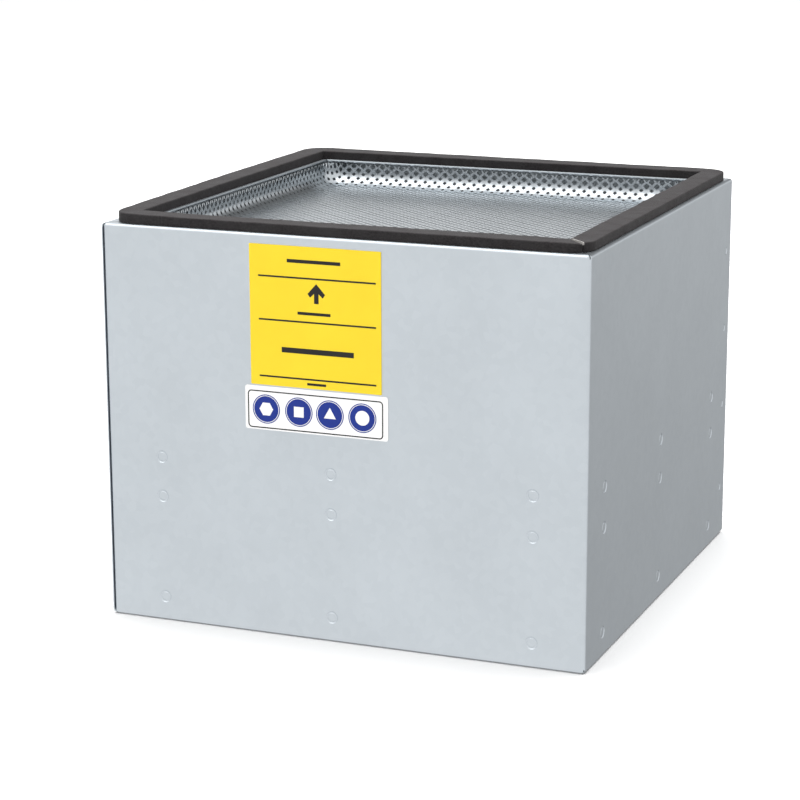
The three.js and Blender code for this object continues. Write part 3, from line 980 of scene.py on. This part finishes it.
def studio():
    """Pale paper, white surroundings with a dark patch low down and another high up at the back,
    a large softbox above the front left and a strong light straight above. The metal mirrors the
    surroundings and the softbox, and not the paper or the light above."""
    size = 12.0
    corners = [(-size, -size, 0), (size, -size, 0), (size, size, 0), (-size, size, 0)]
    floor = add_object("studio_floor", corners, [(0, 1, 2, 3)])
    floor.location.z = -0.5 * MM
    floor.visible_glossy = False
    # The paper is darker close to the object, where the light above it is strongest.
    paint, tree, shader, coords = new_material("studio_paper")
    away = tree.nodes.new("ShaderNodeVectorMath")
    away.operation = "LENGTH"
    tree.links.new(coords, away.inputs[0])
    tone = tree.nodes.new("ShaderNodeMapRange")
    tone.interpolation_type = "SMOOTHSTEP"
    tone.inputs["From Min"].default_value = 0.6
    tone.inputs["From Max"].default_value = 2.4
    tone.inputs["To Min"].default_value = 0.55
    tone.inputs["To Max"].default_value = 0.98
    tree.links.new(away.outputs["Value"], tone.inputs["Value"])
    tree.links.new(tone.outputs["Result"], shader.inputs["Base Color"])
    shader.inputs["Roughness"].default_value = 0.9
    shader.inputs["Specular IOR Level"].default_value = 0.0
    floor.data.materials.append(paint)

    world = bpy.data.worlds.new("studio_world")
    world.use_nodes = True
    tree = world.node_tree
    around = tree.nodes.new("ShaderNodeTexCoord").outputs["Generated"]

    def patch(direction, edge, middle, least):
        """1 away from a direction and least in its middle: edge and middle are cosines."""
        towards = tree.nodes.new("ShaderNodeVectorMath")
        towards.operation = "DOT_PRODUCT"
        towards.inputs[1].default_value = Vector(direction).normalized()
        tree.links.new(around, towards.inputs[0])
        shade = tree.nodes.new("ShaderNodeMapRange")
        shade.interpolation_type = "SMOOTHSTEP"
        shade.inputs["From Min"].default_value = edge
        shade.inputs["From Max"].default_value = middle
        shade.inputs["To Min"].default_value = 1.0
        shade.inputs["To Max"].default_value = least
        tree.links.new(towards.outputs["Value"], shade.inputs["Value"])
        return shade.outputs["Result"]

    both = tree.nodes.new("ShaderNodeMath")
    both.operation = "MULTIPLY"
    tree.links.new(patch((0.33, 0.66, -0.67), 0.55, 1.0, 0.34), both.inputs[0])
    tree.links.new(patch((0.12, 0.86, 0.49), 0.88, 0.98, 0.12), both.inputs[1])
    tree.links.new(both.outputs["Value"], tree.nodes["Background"].inputs["Color"])
    tree.nodes["Background"].inputs["Strength"].default_value = 1.02
    scene.world = world

    def area_lamp(name, place, target, side, watts, mirrored):
        data = bpy.data.lights.new(name, "AREA")
        data.shape = "RECTANGLE"
        data.size = data.size_y = side
        data.energy = watts
        lamp = bpy.data.objects.new(name, data)
        lamp.location = place
        lamp.rotation_euler = (Vector(target) - Vector(place)).to_track_quat("-Z", "Y").to_euler()
        lamp.visible_glossy = mirrored
        scene.collection.objects.link(lamp)

    area_lamp("softbox", (-0.9, -0.9, 2.4), (0, 0, 0.15), 2.6, 28, True)
    area_lamp("overhead", (0, 0.3, 2.6), (0, 0, 0), 2.0, 165, False)
    scene.view_settings.view_transform = "Standard"


def camera():
    """The photograph's viewpoint: 22 degrees round to the right, 14 degrees above."""
    data = bpy.data.cameras.new("camera")
    data.sensor_width = 36
    data.lens = 110.2
    data.clip_end = 100
    view = bpy.data.objects.new("camera", data)
    view.location = (0.6883, -1.7715, 0.6039)
    target = Vector((-0.0289, 0.0, 0.1391))
    turn = (target - view.location).to_track_quat("-Z", "Y").to_matrix().to_4x4()
    roll = Matrix.Rotation(math.radians(-0.18), 4, "Z")         # the photo leans a little
    view.rotation_euler = (turn @ roll).to_euler()
    scene.collection.objects.link(view)
    scene.camera = view


# ------------------------------------------------------------------ the model

camera()
studio()
casing()
outlet_tray()
flat_mesh("inlet_mesh", "inlet_grid", 8 * MM, 1.0)
flat_mesh("bed_support_mesh", "bed_support_grid", 2 * MM, 2.0)
foam_gasket()
rating_label()
handling_label()
pleated_media()
soft_slab("upper_felt", "upper_felt_pad", 4 * MM, 0.3 * MM, filter_felt, "filter_felt")
soft_slab("lower_felt", "lower_felt_pad", 8 * MM, 0.3 * MM, filter_felt, "filter_felt")
soft_slab("carbon_granule_bed", "carbon_bed", 4 * MM, 0.6 * MM, black_carbon, "activated_carbon")
guard_gasket()
carried_over()
